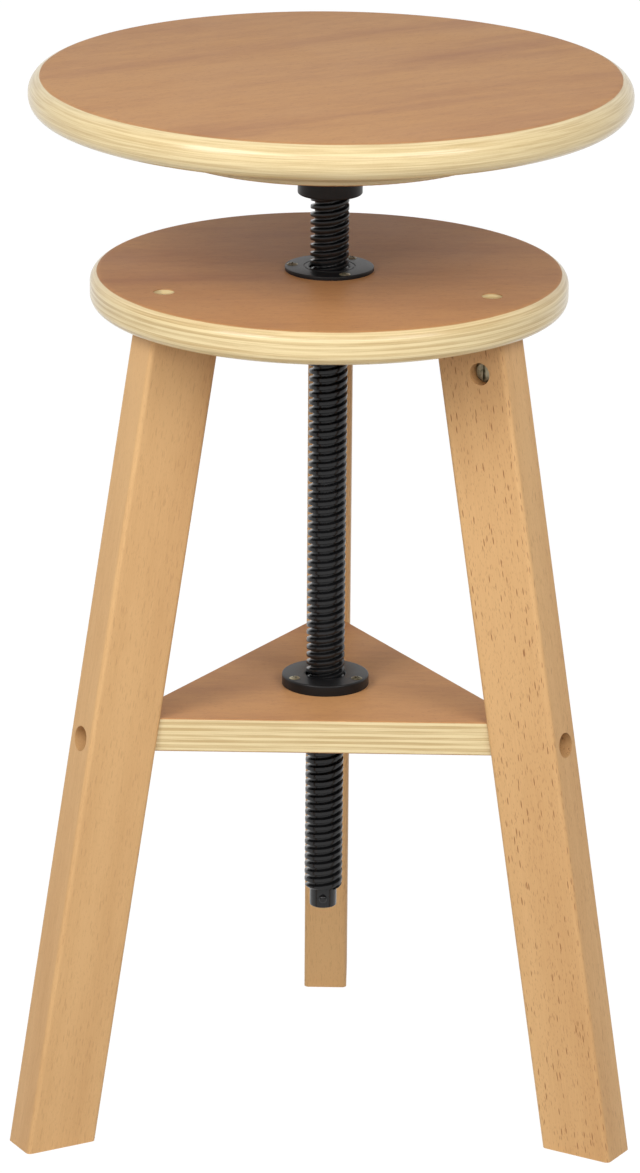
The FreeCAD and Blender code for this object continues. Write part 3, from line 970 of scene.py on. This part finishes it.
class STOOL_OT_lift_screw(StoolOperator, bpy.types.Operator):
    """Make the two-start lift screw with its plain drilled tip"""

    bl_idname = "stool.lift_screw"
    bl_label = "Lift Screw"

    def execute(self, context):
        thread = context.scene.stool_thread
        finish = named_material("oiled_black_finish")

        # The tree's inputs have the names of the thread's settings
        values = {"Material": finish}
        for field in StoolThread.__annotations__:
            values[thread.bl_rna.properties[field].name] = getattr(thread, field)
        wound = run_tree("thread", bpy.data.meshes.new("start"), thread_tree(), values)
        low, high = box_in_millimetres("lift_screw")
        end = thread.end / MILLIMETRE
        overlap, rounding, pin_hole, reach = 0.5, 0.6, 2.6, 20
        tip_top = thread.bottom / MILLIMETRE + overlap
        neck_low = thread.top / MILLIMETRE - overlap
        outline = [(0, low.z), *arc(end - rounding, low.z + rounding, rounding, -90, 0, 4)]
        outline += [(end, tip_top), (0, tip_top)]
        tip = turned("tip", outline, 64)
        level = sum(corner.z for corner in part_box("lift_stop_pin")) / 2
        outline = [(0, -reach), (pin_hole, -reach), (pin_hole, reach), (0, reach)]
        hole = turned("hole", outline, 32)
        across = Matrix.Translation((0, 0, level)) @ quarter_turn("X")
        tip = cut(tip, shifted(hole, across))
        neck = turned("neck", [(0, neck_low), (end, neck_low), (end, high.z), (0, high.z)], 64)
        mesh = joined("lift_screw", [wound, tip, neck])
        placed("screw", mesh, finish, "seat", "black_steel", "lift_screw")
        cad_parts["lift_stop_pin"].data.materials[0] = finish
        return {"FINISHED"}


class STOOL_OT_hub(StoolOperator, bpy.types.Operator):
    """Make the black hub under the seat, with its bolt and washer"""

    bl_idname = "stool.hub"
    bl_label = "Hub"

    def execute(self, context):
        low, high = box_in_millimetres("seat_hub")
        bore, mouth = 8.6, 0.5
        barrel, flange, flange_low = 20.0, high.x, high.z - 5.0
        rounding, hollow = 1.0, 1.5
        outline = [(bore, high.z), (bore, low.z + mouth), (bore + mouth, low.z)]
        outline += arc(barrel - rounding, low.z + rounding, rounding, -90, 0, 5)
        outline += arc(barrel + hollow, flange_low - hollow, hollow, 180, 90, 5)
        outline += arc(flange - rounding, flange_low + rounding, rounding, -90, 0, 4)
        outline += [(flange, high.z)]
        finish = named_material("black_finish")
        placed("hub", turned("hub", outline, 128), finish, "seat", "black_steel", "seat_hub")
        for node in ("hub_washer", "hub_bolt"):
            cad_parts[node].data.materials[0] = named_material("zinc_plate")
        return {"FINISHED"}


class STOOL_OT_nuts(StoolOperator, bpy.types.Operator):
    """Make the flanged nuts in the top plate and the shelf"""

    bl_idname = "stool.nuts"
    bl_label = "Flanged Nuts"

    def execute(self, context):
        finish = named_material("black_finish")
        bore, body, taper, rim, mouth = 12.45, 18.0, 0.5, 0.2, 0.8
        ring_outer, ring_inner, ring_depth = 16.1, 15.1, 0.4
        for node, board, flange, bevel, groove in (
            ("upper_nut", "top_plate", 27.5, 0.7, True),
            ("lower_nut", "shelf", 27.25, 1.1, False),
        ):
            low, high = (corner.z for corner in box_in_millimetres(node))
            seat = box_in_millimetres(board)[1].z
            outline = [(bore, low + taper), (bore + taper, low)]
            outline += [(body - taper, low), (body, low + taper), (body, seat)]
            outline += [(flange - rim, seat), (flange, seat + rim)]
            outline += arc(flange - bevel, high - bevel, bevel, 0, 90, 5)
            if groove:
                outline += [(ring_outer, high), (ring_outer - rim, high - ring_depth)]
                outline += [(ring_inner + rim, high - ring_depth), (ring_inner, high)]
            outline += [(bore + mouth, high), (bore, high - mouth)]
            name = node.replace("_", "_flanged_")
            placed(name, turned(node, outline, 128), finish, "stand", "black_steel", node)
        return {"FINISHED"}


class STOOL_OT_wood_screws(StoolOperator, bpy.types.Operator):
    """Make the wood screws of the hub, the disc and the nuts"""

    bl_idname = "stool.wood_screws"
    bl_label = "Wood Screws"

    def execute(self, context):
        upside_down = Matrix.Rotation(math.pi, 4, "X")
        for node, body, head, shank, length, count, radius, azimuth, below in (
            ("upper_nut_screws", "stand", 7.0, 4.0, 16.0, 3, 23.0, 55.0, False),
            ("lower_nut_screws", "stand", 7.0, 4.0, 22.0, 3, 22.5, 92.0, False),
            ("seat_hub_screws", "seat", 9.5, 5.0, 20.0, 4, 38.0, 45.0, True),
            ("backing_disc_screws", "seat", 9.5, 5.0, 36.0, 6, 90.0, 0.0, True),
        ):
            low, high = (corner.z for corner in box_in_millimetres(node))
            screw = wood_screw_mesh(head, shank, length)
            if below:
                shifted(screw, upside_down)
            name = node.replace("screws", "oval_screws")
            level = low if below else high
            # Screws seen from above get the dull zinc, whose darker patches are painted shade
            finish = named_material("zinc_plate" if below else "dull_zinc_with_painted_shade")
            ring_of(name, screw, count, radius, azimuth, level, finish, body, "zinc_steel", node)
        return {"FINISHED"}


class STOOL_OT_leg_bolts(StoolOperator, bpy.types.Operator):
    """Make the socket bolts, washers and barrel nuts that hold the legs"""

    bl_idname = "stool.leg_bolts"
    bl_label = "Leg Bolts"

    def execute(self, context):
        lying = quarter_turn("Y")
        standing = quarter_turn("Z") @ quarter_turn("X")
        top = box_in_millimetres("top_bolts")[1].z - BOLT_HEAD_HEIGHT
        reach = top_bolt_reach() / MILLIMETRE
        shelf_level = sum(corner.z for corner in box_in_millimetres("shelf_bolts")) / 2
        nut_level = sum(corner.z for corner in box_in_millimetres("top_barrel_nuts")) / 2
        head = box_in_millimetres("shelf_bolts")[1].y - BOLT_HEAD_HEIGHT
        ring = box_in_millimetres("shelf_bolt_washers")[1].y - WASHER_THICKNESS
        barrel = box_in_millimetres("shelf_barrel_nuts")[1].y - BARREL_NUT_RADIUS
        inner, outer, rim = 4.5, 7.5, 0.2
        outline = [(inner, 0), (outer - rim, 0), (outer, rim), (outer, WASHER_THICKNESS - rim)]
        outline += [(outer - rim, WASHER_THICKNESS), (inner, WASHER_THICKNESS)]
        washer = shifted(turned("washer", outline, 48), lying)
        shelf_bolt = shifted(socket_bolt_mesh(13.0, 60.0), lying)
        shelf_nut = shifted(barrel_nut_mesh(14.0), standing)
        for node, shape, radius, height in (
            ("top_bolts", socket_bolt_mesh(TOP_BOLT_HEAD, 45.0), reach, top),
            ("top_barrel_nuts", barrel_nut_mesh(16.0), reach, nut_level),
            ("shelf_bolts", shelf_bolt, head, shelf_level),
            ("shelf_bolt_washers", washer, ring, shelf_level),
            ("shelf_barrel_nuts", shelf_nut, barrel, shelf_level),
        ):
            # The barrel nuts, deep in their holes, get the dull zinc with painted shade
            finish = named_material("dull_zinc_with_painted_shade" if "barrel" in node else "zinc_plate")
            name = "leg_" + node
            ring_of(name, shape, 3, radius, 90.0, height, finish, "stand", "zinc_steel", node)
        return {"FINISHED"}


class STOOL_OT_stage(StoolOperator, bpy.types.Operator):
    """Set up the camera, the lamps, the world and the floor"""

    bl_idname = "stool.stage"
    bl_label = "Stage"

    def execute(self, context):
        stage = context.scene.stool_stage
        add_camera(context.scene, stage)
        add_lamps(context.scene, stage)
        add_world(context.scene, stage)
        add_floor(context.scene, stage)
        context.scene.view_settings.view_transform = "Standard"
        return {"FINISHED"}


def add_camera(scene, stage):
    """The camera at the photo's viewing angle."""
    down, roll, aside = stage.camera_turn
    look = Euler((math.radians(90) + down, 0, aside)).to_matrix()
    look = look @ Matrix.Rotation(roll, 3, "Z")
    data = bpy.data.cameras.new("photo_view")
    data.lens = stage.lens
    data.sensor_width = 36
    data.sensor_fit = "AUTO"
    camera = bpy.data.objects.new("photo_view", data)
    camera.matrix_world = Matrix.Translation(stage.camera_place) @ look.to_4x4()
    scene.collection.objects.link(camera)
    scene.camera = camera


def add_lamps(scene, stage):
    """Two soft boxes and a broad fill, all turned towards the middle of the stool."""
    middle = Vector((0, 0, 0.45))
    for name, place, width, height, power in (
        ("left_soft_box", (-1.22, -1.34, 1.7), 0.95, 1.0, stage.left_lamp),
        ("right_soft_box", (1.22, -1.34, 1.7), 0.95, 1.0, stage.right_lamp),
        ("front_fill", (0.0, -2.3, 1.75), 2.2, 1.4, stage.front_fill),
    ):
        data = bpy.data.lights.new(name, "AREA")
        data.shape = "RECTANGLE"
        data.size = width
        data.size_y = height
        data.energy = power
        lamp = bpy.data.objects.new(name, data)
        lamp.location = place
        lamp.rotation_euler = (middle - Vector(place)).to_track_quat("-Z", "Y").to_euler()
        scene.collection.objects.link(lamp)


def add_world(scene, stage):
    """Even light, with a white backdrop that the camera and the shiny pieces see."""
    white = {"Color": (1, 1, 1)}
    world = bpy.data.worlds.new("white_room")
    world.use_nodes = True
    scene.world = world
    graph = Graph(world.node_tree)
    rays = graph.node("ShaderNodeLightPath")
    _, behind, _ = graph.split(graph.node("ShaderNodeTexCoord"))
    backdrop = rays.of("Is Glossy Ray") * graph.ramp(behind, -0.2, 0.3)
    seen = rays.of("Is Camera Ray").math("MAXIMUM", backdrop)
    lit = graph.node("ShaderNodeBackground", inputs={**white, "Strength": stage.world_light})
    bright = graph.node("ShaderNodeBackground", inputs={**white, "Strength": 1.0})
    mixed = graph.node("ShaderNodeMixShader", inputs={0: seen, 1: lit, 2: bright})
    graph.node("ShaderNodeOutputWorld", inputs=[mixed])


def add_floor(scene, stage):
    """A pale floor that keeps a soft shadow and otherwise looks white."""

    def build(work):
        bmesh.ops.create_grid(work, x_segments=1, y_segments=1, size=30)

    mesh = mesh_from("floor", build)
    floor = bpy.data.objects.new("floor", mesh)
    scene.collection.objects.link(floor)
    made, graph = material("white_floor")
    rays = graph.node("ShaderNodeLightPath")
    seen = rays.of("Is Camera Ray").math("MAXIMUM", rays.of("Is Glossy Ray"))
    white_share, white_strength = 0.94, 1.06
    matt = graph.node("ShaderNodeBsdfDiffuse", inputs={"Color": stage.floor})
    inputs = {"Color": (1, 1, 1), "Strength": white_strength}
    bright = graph.node("ShaderNodeEmission", inputs=inputs)
    mixed = graph.node("ShaderNodeMixShader", inputs={0: seen * white_share, 1: matt, 2: bright})
    graph.node("ShaderNodeOutputMaterial", inputs=[mixed])
    mesh.materials.append(made)


class STOOL_PT_panel(bpy.types.Panel):
    """Settings and pieces of the stool"""

    bl_idname = "STOOL_PT_panel"
    bl_label = "Machinist Stool"
    bl_space_type = "VIEW_3D"
    bl_region_type = "UI"
    bl_category = "Stool"

    def draw(self, context):
        for operator in OPERATORS:
            self.layout.operator(operator.bl_idname)
        for name, group in GROUPS.items():
            box = self.layout.box()
            box.label(text=group.__doc__)
            for field in group.__annotations__:
                box.prop(getattr(context.scene, name), field)


OPERATORS = (
    STOOL_OT_seat,
    STOOL_OT_backing_disc,
    STOOL_OT_top_plate,
    STOOL_OT_shelf,
    STOOL_OT_legs,
    STOOL_OT_lift_screw,
    STOOL_OT_hub,
    STOOL_OT_nuts,
    STOOL_OT_wood_screws,
    STOOL_OT_leg_bolts,
    STOOL_OT_stage,
)
GROUPS = {
    "stool_plywood": StoolPlywood,
    "stool_beech": StoolBeech,
    "stool_steel": StoolSteel,
    "stool_thread": StoolThread,
    "stool_stage": StoolStage,
}


def register():
    for group in GROUPS.values():
        bpy.utils.register_class(group)
    for name, group in GROUPS.items():
        setattr(bpy.types.Scene, name, PointerProperty(type=group))
    for operator in OPERATORS:
        bpy.utils.register_class(operator)
    bpy.utils.register_class(STOOL_PT_panel)


def unregister():
    bpy.utils.unregister_class(STOOL_PT_panel)
    for operator in reversed(OPERATORS):
        bpy.utils.unregister_class(operator)
    for name in GROUPS:
        delattr(bpy.types.Scene, name)
    for group in reversed(GROUPS.values()):
        bpy.utils.unregister_class(group)


def main():
    register()
    for operator in OPERATORS:
        group, call = operator.bl_idname.split(".")
        getattr(getattr(bpy.ops, group), call)()


if __name__ == "__main__":
    main()
